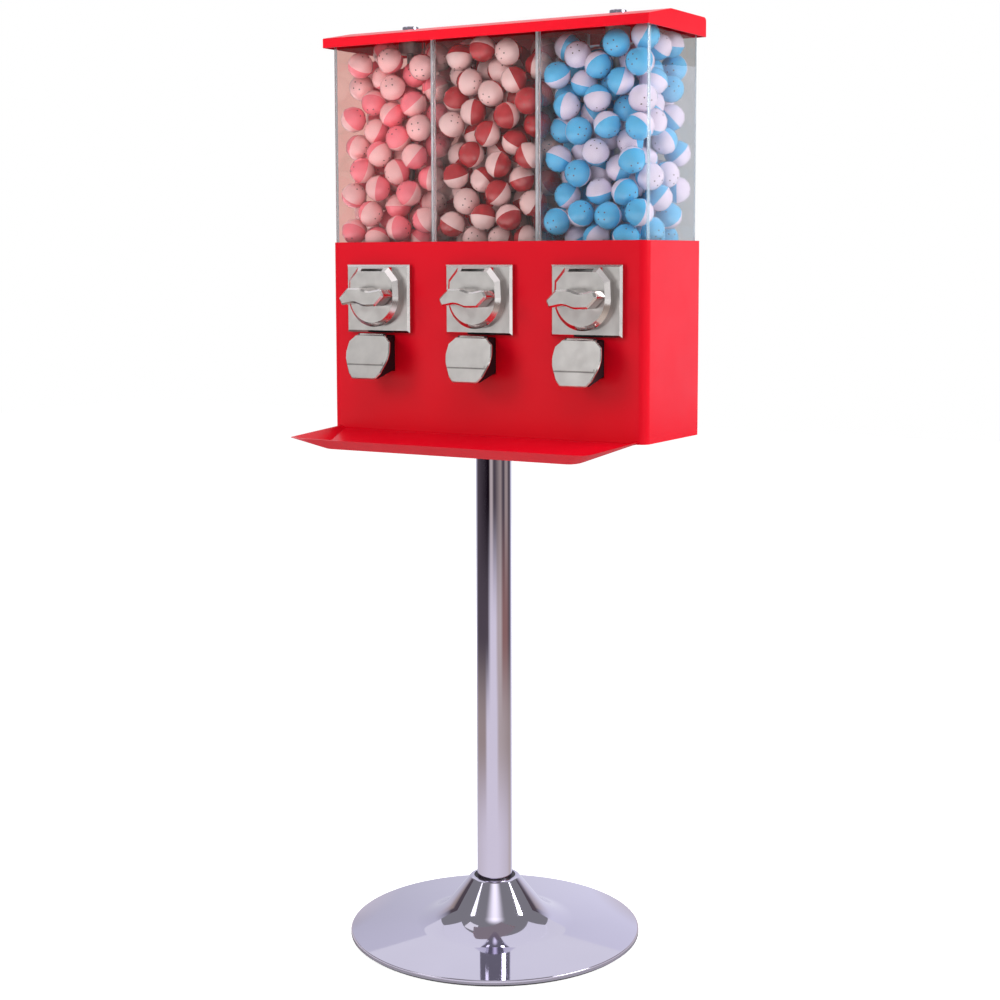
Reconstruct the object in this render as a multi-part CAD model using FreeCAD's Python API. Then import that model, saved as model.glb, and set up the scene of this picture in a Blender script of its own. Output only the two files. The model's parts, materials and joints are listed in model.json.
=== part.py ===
import FreeCAD, Part
import math
import os
import random

# Three-head capsule vending machine on a round chrome stand.
# Millimetres. Origin on the floor under the pole, +Z up, front towards -Y, right towards +X.

# Driving dimensions of the stand
base_d = 350.0
rim_h = 8.0
rim_round = 2.0
cover_t = 1.2
cover_lift = 3.0
hub_foot_r = 72.0
hub_foot_z = 17.0
hub_foot_round = 60.0
hub_top_r = 29.0
hub_top_z = 70.0
hub_top_round = 3.0
hub_lip_w = 4.0
weight_gap = 0.6
weight_hub_r = 50.0
weight_neck_wall = 8.0
weight_neck_z = 50.0
socket_floor = 4.0
floor_ring_h = 4.0
floor_ring_w = 22.0
floor_ring_inset = 4.0
pole_d = 42.4
pole_wall = 2.0
socket_gap = 0.1
bush_proud = 0.5
bush_gap = 0.2
flange_w = 160.0
flange_d = 125.0
flange_t = 5.0
flange_setback = 0.5
flange_corner_r = 10.0
collar_wall = 5.0
collar_h = 12.0
bolt_d = 8.0
bolt_hole_gap = 0.3
bolt_inset = 15.0
bolt_head_across = 13.0
bolt_head_h = 5.3
nut_h = 6.5

# Driving dimensions of the cabinet
cabinet_foot_z = 609.0
front_setback = 27.0
sheet = 1.2
bend_r = 10.0
floor_t = 1.5
deck_t = 1.5
deck_gap = 0.2
deck_ledge_w = 8.0
return_w = 14.0
panel_gap = 0.3

# Driving dimensions of the tray
tray_reach = 111.0
tray_lip_reach = 28.0
tray_lip_drop = 13.0
tray_fall = 15.0
tray_floor_front_w = 340.0
tray_floor_back_w = 394.0
tray_lip_w = 394.0
tray_edge_rise = 5.0
tray_corner_round = 30.0

# Driving dimensions of the cash drawer
drawer_w = 292.0
drawer_h = 44.0
drawer_d = 118.0
drawer_face_lap = 10.0
drawer_gap = 1.0
runner_w = 12.0
runner_clear = 2.2
lock_r = 8.0
lock_head_r = 10.5
lock_head_h = 4.0
lock_hole_gap = 0.2
plug_r = 5.0
plug_gap = 0.05
keyway_w = 1.6
keyway_l = 6.0
keyway_depth = 2.0
cam_l = 22.0
cam_w = 11.0
cam_t = 2.0
cam_gap = 1.0

# Driving dimensions of the hoppers
canister_w = 141.2
canister_d = 133.6
canister_h = 252.5
canister_wall = 2.5
canister_fit = 0.5
canister_grip = 8.0
capsule_d = 32.0
capsule_gap = 0.3

# Driving dimensions of the coin mechanism, from front to back
mech_height = 162.0
plate_w = 90.5
plate_h = 81.0
plate_t = 8.0
plate_drop = 2.5
plate_bevel = 2.5
boss_r = 36.0
boss_proud = 13.0
boss_bevel = 5.0
boss_shoulder_w = 70.0
boss_shoulder_z = 20.0
boss_top_w = 44.0
boss_top_z = 35.0
slot_w = 31.0
slot_h = 3.2
slot_below_top = 1.5
handle_gap = 0.4
neck_r = 12.0
neck_l = 1.0
wing_l = 64.6
wing_t = 21.0
wing_bevel = 2.2
wing_tip_rise = 1.5
wing_corner_l = 56.0
wing_corner_rise = 10.0
wing_dip_l = 20.0
wing_dip_rise = 6.5
wing_crest_l = 6.0
wing_crest_rise = 11.0
wing_shoulder_l = 40.0
wing_shoulder_rise = 10.5
wing_round = 3.0
shaft_r = 5.0
shaft_gap = 0.06
press_gap = 0.02
handle_cap = 4.0
screw_r = 2.0
screw_hole_gap = 0.2
screw_head_r = 3.2
screw_head_h = 2.0
screw_head_round = 0.7
screw_inset = 5.5
screw_bite = 5.0
screw_high_z = 24.0
carrier_gap = 0.8
carrier_t = 4.0
carrier_r = 30.0
ratchet_teeth = 16
ratchet_depth = 3.0
ratchet_rise = 0.95
coin_d = 25.0
coin_play = 0.5
coin_web = 1.5
pawl_x = -40.0
pawl_z = 4.0
pawl_r = 4.0
pawl_pin_r = 2.0
pawl_tip_turn = 140.0
pawl_tip_gap = 0.5
pawl_tip_t = 4.0
pawl_side_gap = 0.3
cage_gap = 2.5
cage_t = 2.0
cage_inner_w = 64.0
cage_foot_w = 10.0
cage_foot_t = 1.5
cage_leg_drop = 8.0
pinion_gap = 1.0
tooth_face = 6.0

# Driving dimensions of the dispenser
pinion_teeth = 12
crown_teeth = 48
tooth_addendum = 2.0
tooth_dedendum = 2.7
tooth_share = 0.36
tooth_taper = 0.35
tooth_clear = 1.0
rim_web = 4.0
rim_edge = 1.5
pocket_web = 2.0
pocket_play = 1.0
wheel_play = 2.0
running_gap = 0.3
axle_r = 4.0
axle_gap = 0.06
axle_cap_r = 7.0
axle_cap_h = 1.5
pan_wall = 2.5
pan_floor = 3.0
funnel_rise = 6.8
funnel_run = 13.0
guard_t = 1.5
guard_lap = 2.0
guard_gap = 0.4

# Driving dimensions of the chute and its flap
chute_wall = 1.8
chute_gap = 0.3
chute_cut_gap = 0.5
chute_roof_gap = 3.5
chute_roof_fall = 4.0
hinge_run = 8.5
chute_slope = 15.0
mouth_height = 67.0
mouth_reach = 23.5
flap_lean = 16.0
flap_pin_r = 1.5
flap_knuckle_r = 3.0
flap_knuckle_gap = 0.6
flap_side_gap = 0.5
flap_seat_gap = 0.3
flap_t = 2.4
flap_bevel = 1.2
flap_top_w = 41.0
flap_shoulder_w = 59.0
flap_shoulder_z = 8.0
flap_max_w = 63.0
flap_max_z = 21.0
flap_waist_w = 60.0
flap_waist_z = 31.0
flap_foot_w = 46.0
flap_foot_z = 46.5
flap_low_w = 33.0
flap_h = 54.0
flap_round = 3.0
flap_low_round = 5.0
flap_crease_z = 34.5
flap_crease_w = 3.0
flap_crease_h = 1.4

# Driving dimensions of the lid
lid_front_lap = 8.0
lid_side_lap = 4.5
lid_back_lap = 4.5
lid_skirt = 11.2
lid_rise = 11.0
lid_ridge_back = 48.5
lid_front_round = 1.5
lid_ridge_round = 6.0
lid_back_round = 5.0
lid_end_round = 1.0
lid_seat_gap = 0.3
lid_lock_r = 9.0
lid_lock_head_r = 10.0
lid_lock_head_h = 5.5
lid_lock_l = 13.0
keeper_r = 14.0
keeper_h = 14.0
keeper_wall = 2.0
tongue_l = 20.0
tongue_w = 7.0
tongue_t = 3.0
tongue_gap = 1.0
tongue_neck_r = 3.0
tongue_drop = 8.0

heads = ("left", "middle", "right")
fillings = ("pink", "red", "blue")
pile_tries = 6
pile_first_seed = 11
pile_last_step = 0.015

V = FreeCAD.Vector
X = V(1, 0, 0)
Y = V(0, 1, 0)
Z = V(0, 0, 1)

# Places worked out from the driving dimensions
base_r = base_d / 2
pole_r = pole_d / 2
hub_mouth_r = hub_top_r - hub_lip_w
head_pitch = canister_w + canister_fit
inner_w = len(heads) * head_pitch + canister_fit
cabinet_w = inner_w + 2 * sheet
inner_d = canister_d + 2 * canister_fit
cabinet_d = inner_d + 2 * sheet
front_y = -front_setback
back_y = front_y + cabinet_d
hopper_y = (front_y + back_y) / 2
inner_front_y = front_y + sheet
inner_back_y = back_y - sheet
canister_corner_r = bend_r - sheet - canister_fit

flange_top_z = cabinet_foot_z - sheet
pole_top_z = flange_top_z - flange_t
floor_top_z = cabinet_foot_z + floor_t

mech_z = cabinet_foot_z + mech_height
plate_z = mech_z - plate_drop
plate_low_z = plate_z - plate_h / 2
plate_front_y = front_y - plate_t
boss_front_y = plate_front_y - boss_proud
wing_back_y = boss_front_y - handle_gap - neck_l
wing_front_y = wing_back_y - wing_t
carrier_y = inner_front_y + carrier_gap
cage_y = carrier_y + carrier_t + cage_gap
pinion_y = cage_y + cage_t + pinion_gap
pinion_end_y = pinion_y + tooth_face

crown_r = hopper_y - (pinion_y + tooth_face / 2)
crown_in_r = crown_r - tooth_face / 2
crown_out_r = crown_r + tooth_face / 2
pinion_r = crown_r * pinion_teeth / crown_teeth
tooth_pitch = 2 * math.pi * pinion_r / pinion_teeth
pinion_tip_r = pinion_r + tooth_addendum
wheel_r = crown_out_r + rim_edge
wheel_low_z = mech_z + pinion_r + tooth_dedendum
wheel_top_z = wheel_low_z + capsule_d + wheel_play
crown_tip_z = mech_z + pinion_r - tooth_addendum
channel_z = crown_tip_z - tooth_clear
pan_low_z = channel_z - pan_floor
pan_r = wheel_r + running_gap + pan_wall
pocket_r = capsule_d / 2 + pocket_play
pocket_ring_r = crown_in_r - rim_web - pocket_r
pocket_count = int(math.pi / math.asin((pocket_r + pocket_web / 2) / pocket_ring_r))
drop_y = hopper_y - pocket_ring_r
deck_low_z = mech_z + carrier_r + tooth_clear
deck_top_z = deck_low_z + deck_t
canister_low_z = wheel_top_z + funnel_rise
canister_top_z = canister_low_z + canister_h
cabinet_top_z = canister_low_z + canister_grip
guard_z = wheel_top_z + guard_gap
axle_cap_z = wheel_top_z + running_gap
pile_floor_z = max(guard_z + guard_t, axle_cap_z + axle_cap_h)

chute_top_z = pan_low_z - chute_gap
chute_front_y = drop_y - pocket_r - chute_gap
chute_back_y = drop_y + pocket_r + chute_gap
roof_z = plate_low_z - chute_roof_gap - chute_wall
mouth_top_z = roof_z - chute_roof_fall
mouth_top_y = front_y - mouth_reach
mouth_low_z = cabinet_foot_z + mouth_height
lean_sin = math.sin(math.radians(flap_lean))
lean_cos = math.cos(math.radians(flap_lean))
lean_tan = lean_sin / lean_cos
slope_tan = math.tan(math.radians(chute_slope))

lid_front_y = front_y - lid_front_lap
lid_back_y = back_y + lid_back_lap
lid_ridge_y = front_y + lid_ridge_back
lid_slope = lid_rise / (lid_ridge_y - lid_front_y)
lid_sheet_z = sheet * math.hypot(1, lid_slope)
canister_front_y = hopper_y - canister_d / 2
lid_skirt_z = canister_top_z + lid_seat_gap + lid_sheet_z - lid_slope * (canister_front_y - lid_front_y)
lid_low_z = lid_skirt_z - lid_skirt
lid_top_z = lid_skirt_z + lid_rise
lid_half_w = cabinet_w / 2 + lid_side_lap
lid_lock_low_z = lid_top_z - lid_lock_l
keeper_top_z = lid_lock_low_z - lid_seat_gap
keeper_low_z = keeper_top_z - keeper_h

runner_h = nut_h + runner_clear
drawer_low_z = floor_top_z + runner_h + running_gap
drawer_top_z = drawer_low_z + drawer_h
drawer_face_y = back_y + drawer_gap
drawer_lock_z = drawer_top_z - lock_head_r - drawer_gap


def box(x0, x1, y0, y1, z0, z1):
    return Part.makeBox(x1 - x0, y1 - y0, z1 - z0, V(x0, y0, z0))


def rod(radius, start, axis, length):
    return Part.makeCylinder(radius, length, start, axis)


def upright(radius, x, y, z0, z1):
    return rod(radius, V(x, y, z0), Z, z1 - z0)


def corner_edges(points, radii, closed=True):
    # Straight runs between the points, with a tangent arc where a radius is given.
    count = len(points)
    corners = []
    for i, here in enumerate(points):
        loose_end = not closed and i in (0, count - 1)
        if loose_end or radii[i] == 0:
            corners.append((here, None, here))
            continue
        before = (points[i - 1] - here).normalize()
        after = (points[(i + 1) % count] - here).normalize()
        half = before.getAngle(after) / 2
        reach = radii[i] / math.tan(half)
        middle = (before + after).normalize() * (radii[i] / math.sin(half) - radii[i])
        corners.append((here + before * reach, here + middle, here + after * reach))
    edges = []
    for i, (start, middle, end) in enumerate(corners):
        if middle is not None:
            edges.append(Part.Arc(start, middle, end).toShape())
        following = corners[(i + 1) % count][0]
        if (closed or i < count - 1) and end.distanceToPoint(following) > 1e-6:
            edges.append(Part.makeLine(end, following))
    return edges


def slab(points, radii, sweep):
    outline = Part.Wire(corner_edges(points, radii))
    return Part.Face(outline).extrude(sweep)


def sharp_slab(points, sweep):
    return slab(points, [0] * len(points), sweep)


def turned(points, x=0.0, y=0.0):
    outline = Part.makePolygon([V(x + r, y, z) for r, z in points + points[:1]])
    return Part.Face(outline).revolve(V(x, y, 0), Z, 360)


def edges_where(shape, test):
    return [edge for edge in shape.Edges if test(edge)]


def is_upright(edge):
    ends = [vertex.Point for vertex in edge.Vertexes]
    return len(ends) == 2 and abs(ends[0].x - ends[1].x) + abs(ends[0].y - ends[1].y) < 1e-6


def lies_at_y(edge, y):
    return edge.BoundBox.YMax - y < 1e-6 and y - edge.BoundBox.YMin < 1e-6


def rounded_box(x0, x1, y0, y1, z0, z1, radius):
    block = box(x0, x1, y0, y1, z0, z1)
    return block.makeFillet(radius, edges_where(block, is_upright))


def merged(shapes):
    return shapes[0].multiFuse(shapes[1:]).removeSplitter()


def without(shape, cutters):
    return shape.cut(Part.makeCompound(cutters))


def span(side, near, far):
    # An X range on one side of the middle plane, given by its distances from that plane.
    return sorted((side * near, side * far))


def head_x(index):
    return (index - (len(heads) - 1) / 2) * head_pitch


def cover_line_z(r):
    return rim_h + (hub_foot_z - rim_h) * (base_r - r) / (base_r - hub_foot_r)


def base_cover():
    points = [V(base_r, 0, cover_lift), V(base_r, 0, rim_h), V(hub_foot_r, 0, hub_foot_z)]
    points += [V(hub_top_r, 0, hub_top_z), V(hub_mouth_r, 0, hub_top_z)]
    line = Part.Wire(corner_edges(points, [0, rim_round, hub_foot_round, hub_top_round, 0], closed=False))
    section = line.makeOffset2D(cover_t, 0, True, True, False)
    return section.revolve(V(0, 0, 0), Z, 360)


def base_weight():
    drop = cover_t + weight_gap
    outer_r = base_r - drop
    socket_r = pole_r + socket_gap
    socket_z = floor_ring_h + socket_floor
    neck_r_out = socket_r + weight_neck_wall
    points = [(0, floor_ring_h), (outer_r, floor_ring_h), (outer_r, cover_line_z(outer_r) - drop)]
    points += [(weight_hub_r, cover_line_z(hub_foot_r) - drop), (neck_r_out, weight_neck_z)]
    points += [(socket_r, weight_neck_z), (socket_r, socket_z), (0, socket_z)]
    return turned(points)


def floor_ring():
    outer_r = base_r - floor_ring_inset
    inner_r = outer_r - floor_ring_w
    return upright(outer_r, 0, 0, 0, floor_ring_h).cut(upright(inner_r, 0, 0, 0, floor_ring_h))


def pole():
    low_z = floor_ring_h + socket_floor
    return upright(pole_r, 0, 0, low_z, pole_top_z).cut(upright(pole_r - pole_wall, 0, 0, low_z, pole_top_z))


def pole_bush():
    outer_r = hub_mouth_r - bush_gap
    inner_r = pole_r + socket_gap
    high_z = hub_top_z - bush_proud
    return upright(outer_r, 0, 0, weight_neck_z, high_z).cut(upright(inner_r, 0, 0, weight_neck_z, high_z))


def flange_range():
    low_y = front_y + flange_setback
    return low_y, low_y + flange_d


def bolt_places():
    low_y, high_y = flange_range()
    out_x = flange_w / 2 - bolt_inset
    return [(x, y) for x in (-out_x, out_x) for y in (low_y + bolt_inset, high_y - bolt_inset)]


def bolt_holes(z0, z1):
    return [upright(bolt_d / 2 + bolt_hole_gap, x, y, z0, z1) for x, y in bolt_places()]


def stand_flange():
    low_y, high_y = flange_range()
    half_w = flange_w / 2
    plate = rounded_box(-half_w, half_w, low_y, high_y, pole_top_z, flange_top_z, flange_corner_r)
    collar = upright(pole_r + collar_wall, 0, 0, pole_top_z - collar_h, pole_top_z)
    bore = upright(pole_r + socket_gap, 0, 0, pole_top_z - collar_h, pole_top_z)
    return without(merged([plate, collar]), bolt_holes(pole_top_z, flange_top_z) + [bore])


def hexagon(across, x, y, z, height):
    corner_r = across / math.sqrt(3)
    turns = [math.radians(60 * k) for k in range(6)]
    return sharp_slab([V(x + corner_r * math.cos(a), y + corner_r * math.sin(a), z) for a in turns], Z * height)


def flange_bolts():
    solids = []
    for x, y in bolt_places():
        shank = upright(bolt_d / 2, x, y, pole_top_z, floor_top_z + nut_h)
        head = hexagon(bolt_head_across, x, y, pole_top_z - bolt_head_h, bolt_head_h)
        bore = upright(bolt_d / 2 + press_gap, x, y, floor_top_z, floor_top_z + nut_h)
        solids.append(merged([shank, head]))
        solids.append(hexagon(bolt_head_across, x, y, floor_top_z, nut_h).cut(bore))
    return Part.makeCompound(solids)


def keep_side(solid, point, normal):
    # The part of a solid behind a plane whose normal points away from it.
    reach = 4 * solid.BoundBox.DiagonalLength
    away = FreeCAD.Rotation(Z, normal)
    block = Part.makeBox(2 * reach, 2 * reach, reach, V(-reach, -reach, 0))
    block.Placement = FreeCAD.Placement(point, away)
    return solid.cut(block)


def plane_normal(a, b, c, outside):
    normal = (b - a).cross(c - a).normalize()
    return normal if normal.dot(outside - a) > 0 else normal * -1


def tray_points():
    floor_y = front_y - tray_reach + tray_lip_reach
    lip_y = front_y - tray_reach
    floor_z = cabinet_foot_z - tray_fall
    back_low = V(tray_floor_back_w / 2, front_y, cabinet_foot_z)
    front_low = V(tray_floor_front_w / 2, floor_y, floor_z)
    lip_corner = V(tray_lip_w / 2, lip_y, floor_z + tray_lip_drop)
    return back_low, front_low, lip_corner


def flipped(point):
    return V(-point.x, point.y, point.z)


def tray_hollow(grow, back):
    # The space of the scoop between its floor, front lip and side lips, grown outwards.
    back_low, front_low, lip_corner = tray_points()
    inside = V(0, (front_y + lip_corner.y) / 2, cabinet_foot_z + tray_reach)
    high_z = cabinet_foot_z + tray_lip_drop
    solid = box(-cabinet_w, cabinet_w, lip_corner.y - tray_lip_reach, back, cabinet_foot_z - tray_reach, high_z)
    planes = [(back_low, front_low, flipped(front_low)), (front_low, lip_corner, flipped(lip_corner))]
    planes += [(back_low, front_low, lip_corner)]
    planes += [tuple(flipped(point) for point in planes[-1])]
    for a, b, c in planes:
        normal = plane_normal(a, b, c, a + (a - inside))
        solid = keep_side(solid, a + normal * grow, normal)
    slants = [(lip_corner - front_low).normalize(), (flipped(lip_corner) - flipped(front_low)).normalize()]

    def is_corner(edge):
        along = edge.tangentAt(edge.FirstParameter)
        return any(abs(along.dot(slant)) > 1 - 1e-6 for slant in slants)

    return solid.makeFillet(tray_corner_round + grow, edges_where(solid, is_corner))


def tray():
    back_low, front_low, lip_corner = tray_points()
    skin = tray_hollow(sheet, front_y).cut(tray_hollow(0.0, back_y))
    scoop = keep_side(skin, lip_corner, V(0, -tray_edge_rise, tray_reach).normalize())
    half_w = back_low.x
    seat = box(-half_w, half_w, front_y, inner_back_y, flange_top_z, cabinet_foot_z)
    return without(merged([scoop, seat]), bolt_holes(flange_top_z, cabinet_foot_z))


def screw_places(x):
    # The lower pair stands in the plate's corners, the upper pair clear below the deck.
    out_x = plate_w / 2 - screw_inset
    levels = (plate_low_z + screw_inset, mech_z + screw_high_z)
    return [(x + side * out_x, z) for side in (-1, 1) for z in levels]


def chute_half_w():
    return pocket_r + chute_gap + chute_wall


def floor_line_z(y):
    # The upper face of the chute's sloping floor.
    return mouth_low_z + (y - mouth_low_y()) * slope_tan


def mouth_low_y():
    return mouth_top_y - (mouth_top_z - mouth_low_z) * lean_tan


def front_cuts(index):
    x = head_x(index)
    half_w = cage_inner_w / 2 + tooth_clear
    cuts = [box(x - half_w, x + half_w, front_y, inner_front_y, mech_z - half_w, mech_z + half_w)]
    half_w = chute_half_w() + chute_cut_gap
    low_z = floor_line_z(front_y) - 2 * chute_wall - chute_cut_gap
    high_z = roof_z + chute_wall + chute_cut_gap
    cuts.append(box(x - half_w, x + half_w, front_y, inner_front_y, low_z, high_z))
    for screw_x, screw_z in screw_places(x):
        cuts.append(rod(screw_r + screw_hole_gap, V(screw_x, front_y, screw_z), Y, sheet))
    pin = V(x + pawl_x, front_y, mech_z + pawl_z)
    cuts.append(rod(pawl_pin_r + screw_hole_gap, pin, Y, sheet))
    return cuts


def bent_front(inset, back, low_z, high_z):
    half_w = cabinet_w / 2 - inset
    block = box(-half_w, half_w, front_y + inset, back, low_z, high_z)
    corners = edges_where(block, lambda edge: is_upright(edge) and lies_at_y(edge, front_y + inset))
    return block.makeFillet(bend_r - inset, corners)


def pan_holes(z0, z1):
    return [upright(pan_r + deck_gap, head_x(index), hopper_y, z0, z1) for index in range(len(heads))]


def cabinet_wrap():
    skin = bent_front(0, back_y, cabinet_foot_z, cabinet_top_z)
    skin = skin.cut(bent_front(sheet, back_y, cabinet_foot_z, cabinet_top_z))
    wall = inner_w / 2
    solids = [skin]
    for side in (-1, 1):
        x0, x1 = span(side, wall - return_w, wall)
        solids.append(box(x0, x1, inner_back_y - sheet, inner_back_y, cabinet_foot_z, deck_low_z))
        x0, x1 = span(side, wall - deck_ledge_w, wall)
        solids.append(box(x0, x1, front_y + bend_r, inner_back_y - sheet, deck_low_z - sheet, deck_low_z))
    cuts = [cut for index in range(len(heads)) for cut in front_cuts(index)]
    cuts += pan_holes(deck_low_z - sheet, deck_low_z)
    return without(merged(solids), cuts)


def cabinet_floor():
    half_w = inner_w / 2 - deck_gap
    low_y = inner_front_y + deck_gap
    high_y = inner_back_y - sheet - deck_gap
    bend = bend_r - sheet
    plate = rounded_box(-half_w, half_w, low_y, high_y, cabinet_foot_z, floor_top_z, bend)
    runners = []
    for side in (-1, 1):
        x0, x1 = span(side, drawer_w / 2 - runner_w, drawer_w / 2)
        runners.append(box(x0, x1, low_y + bend, high_y - bend, floor_top_z, floor_top_z + runner_h))
    return without(merged([plate] + runners), bolt_holes(cabinet_foot_z, floor_top_z))


def cabinet_deck():
    half_w = inner_w / 2 - deck_gap
    plate = rounded_box(-half_w, half_w, inner_front_y + deck_gap, inner_back_y - deck_gap,
                        deck_low_z, deck_top_z, bend_r - sheet)
    return without(plate, pan_holes(deck_low_z, deck_top_z))


def rear_panel():
    half_w = inner_w / 2 - panel_gap
    sheet_back = box(-half_w, half_w, inner_back_y, back_y, cabinet_foot_z, cabinet_top_z)
    way = drawer_w / 2 + drawer_gap
    opening = box(-way, way, inner_back_y, back_y, drawer_low_z - drawer_gap, drawer_top_z + drawer_gap)
    return sheet_back.cut(opening)


def cash_drawer():
    half_w = drawer_w / 2
    low_y = drawer_face_y - drawer_d
    outer = box(-half_w, half_w, low_y, drawer_face_y, drawer_low_z, drawer_top_z)
    inner = box(-half_w + sheet, half_w - sheet, low_y + sheet, drawer_face_y, drawer_low_z + sheet, drawer_top_z)
    face_w = half_w + drawer_face_lap
    face_low_z = drawer_low_z - drawer_gap - drawer_face_lap / 2
    face_high_z = drawer_top_z + drawer_gap + drawer_face_lap / 2
    face = box(-face_w, face_w, drawer_face_y, drawer_face_y + sheet, face_low_z, face_high_z)
    hole = rod(lock_r + lock_hole_gap, V(0, drawer_face_y, drawer_lock_z), Y, sheet)
    return merged([outer.cut(inner), face]).cut(hole)


def drawer_lock_body():
    face_y = drawer_face_y + sheet
    head = rod(lock_head_r, V(0, face_y, drawer_lock_z), Y, lock_head_h)
    barrel = rod(lock_r, V(0, drawer_face_y, drawer_lock_z), Y, sheet)
    bore = rod(plug_r + plug_gap, V(0, drawer_face_y, drawer_lock_z), Y, sheet + lock_head_h)
    return merged([head, barrel]).cut(bore)


def drawer_lock_plug():
    face_y = drawer_face_y + sheet + lock_head_h
    cam_y = inner_back_y - cam_gap - cam_t
    barrel = rod(plug_r, V(0, cam_y, drawer_lock_z), Y, face_y - cam_y)
    arm = box(-cam_w / 2, cam_l, cam_y, cam_y + cam_t, drawer_lock_z - cam_w / 2, drawer_lock_z + cam_w / 2)
    keyway = box(-keyway_w / 2, keyway_w / 2, face_y - keyway_depth, face_y,
                 drawer_lock_z - keyway_l / 2, drawer_lock_z + keyway_l / 2)
    return merged([barrel, arm]).cut(keyway)


def canister(index):
    x = head_x(index)
    half_w = canister_w / 2
    half_d = canister_d / 2
    outer = rounded_box(x - half_w, x + half_w, hopper_y - half_d, hopper_y + half_d,
                        canister_low_z, canister_top_z, canister_corner_r)
    half_w -= canister_wall
    half_d -= canister_wall
    inner = rounded_box(x - half_w, x + half_w, hopper_y - half_d, hopper_y + half_d,
                        canister_low_z, canister_top_z, canister_corner_r - canister_wall)
    return outer.cut(inner)


def dispenser_housing(index):
    x = head_x(index)
    half_w = canister_w / 2
    half_d = canister_d / 2
    bore_r = wheel_r + running_gap
    block = rounded_box(x - half_w, x + half_w, hopper_y - half_d, hopper_y + half_d,
                        deck_top_z, canister_low_z, canister_corner_r)
    pan = upright(pan_r, x, hopper_y, pan_low_z, deck_top_z + pan_wall)
    body = merged([block, pan])
    plateau = upright(crown_in_r - tooth_clear, x, hopper_y, channel_z, wheel_low_z - running_gap)
    space = upright(bore_r, x, hopper_y, channel_z, canister_low_z).cut(plateau)
    half_w -= canister_wall
    half_d -= canister_wall
    inside = box(x - half_w, x + half_w, hopper_y - half_d, hopper_y + half_d, wheel_top_z, canister_low_z)
    cone = Part.makeCone(bore_r, bore_r + funnel_run, funnel_rise, V(x, hopper_y, wheel_top_z), Z)
    notch_w = guard_half_w() + guard_gap
    notch = box(x - notch_w, x + notch_w, hopper_y - half_d, hopper_y - crown_r, guard_z, canister_low_z)
    drop = upright(pocket_r, x, drop_y, pan_low_z, wheel_low_z)
    window_w = pinion_tip_r + tooth_clear
    window = box(x - window_w, x + window_w, pinion_y - tooth_clear / 2, pinion_end_y + tooth_clear / 2,
                 pan_low_z, channel_z)
    axle_hole = upright(axle_r + press_gap, x, hopper_y, pan_low_z, wheel_low_z)
    return without(body, [space, cone.common(inside), notch, drop, window, axle_hole])


def guard_half_w():
    return pocket_r + guard_lap


def brush_guards():
    solids = []
    front = hopper_y - canister_d / 2 + canister_wall + guard_gap
    for index in range(len(heads)):
        x = head_x(index)
        half_w = guard_half_w()
        strip = box(x - half_w, x + half_w, front, drop_y, guard_z, guard_z + guard_t)
        nose = upright(half_w, x, drop_y, guard_z, guard_z + guard_t)
        solids.append(merged([strip, nose]))
    return Part.makeCompound(solids)


def tooth_half_widths():
    # Half widths of a tooth at its tip and at its root.
    half = tooth_pitch * tooth_share / 2
    return half - tooth_addendum * tooth_taper, half + tooth_dedendum * tooth_taper


def product_wheel(index):
    x = head_x(index)
    body = upright(wheel_r, x, hopper_y, wheel_low_z, wheel_top_z)
    tip, root = tooth_half_widths()
    points = [V(x + crown_in_r, hopper_y - root, wheel_low_z), V(x + crown_in_r, hopper_y - tip, crown_tip_z)]
    points += [V(x + crown_in_r, hopper_y + tip, crown_tip_z), V(x + crown_in_r, hopper_y + root, wheel_low_z)]
    teeth = []
    for k in range(crown_teeth):
        tooth = sharp_slab(points, X * tooth_face)
        tooth.rotate(V(x, hopper_y, 0), Z, (k + 0.5) * 360 / crown_teeth - 90)
        teeth.append(tooth)
    cuts = [upright(axle_r + axle_gap, x, hopper_y, wheel_low_z, wheel_top_z)]
    for k in range(pocket_count):
        turn = math.radians(k * 360 / pocket_count - 90)
        pocket_x = x + pocket_ring_r * math.cos(turn)
        pocket_y = hopper_y + pocket_ring_r * math.sin(turn)
        cuts.append(upright(pocket_r, pocket_x, pocket_y, wheel_low_z, wheel_top_z))
    return without(merged([body] + teeth), cuts)


def lock_rod(x):
    shaft = upright(axle_r, x, hopper_y, pan_low_z, keeper_low_z + keeper_wall)
    cup = upright(keeper_r, x, hopper_y, keeper_low_z, keeper_top_z)
    hollow = upright(keeper_r - keeper_wall, x, hopper_y, keeper_low_z + keeper_wall, keeper_top_z - keeper_wall)
    half_l = tongue_l / 2 + tongue_gap
    half_w = tongue_w / 2 + tongue_gap
    slot = box(x - half_l, x + half_l, hopper_y - half_w, hopper_y + half_w,
               keeper_top_z - keeper_wall, keeper_top_z)
    return without(merged([shaft, cup]), [hollow, slot])


def short_axle(x):
    shaft = upright(axle_r, x, hopper_y, pan_low_z, axle_cap_z)
    return merged([shaft, upright(axle_cap_r, x, hopper_y, axle_cap_z, axle_cap_z + axle_cap_h)])


def has_lock(index):
    return index != len(heads) // 2


def wheel_axles():
    solids = []
    for index in range(len(heads)):
        make = lock_rod if has_lock(index) else short_axle
        solids.append(make(head_x(index)))
    return Part.makeCompound(solids)


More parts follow.
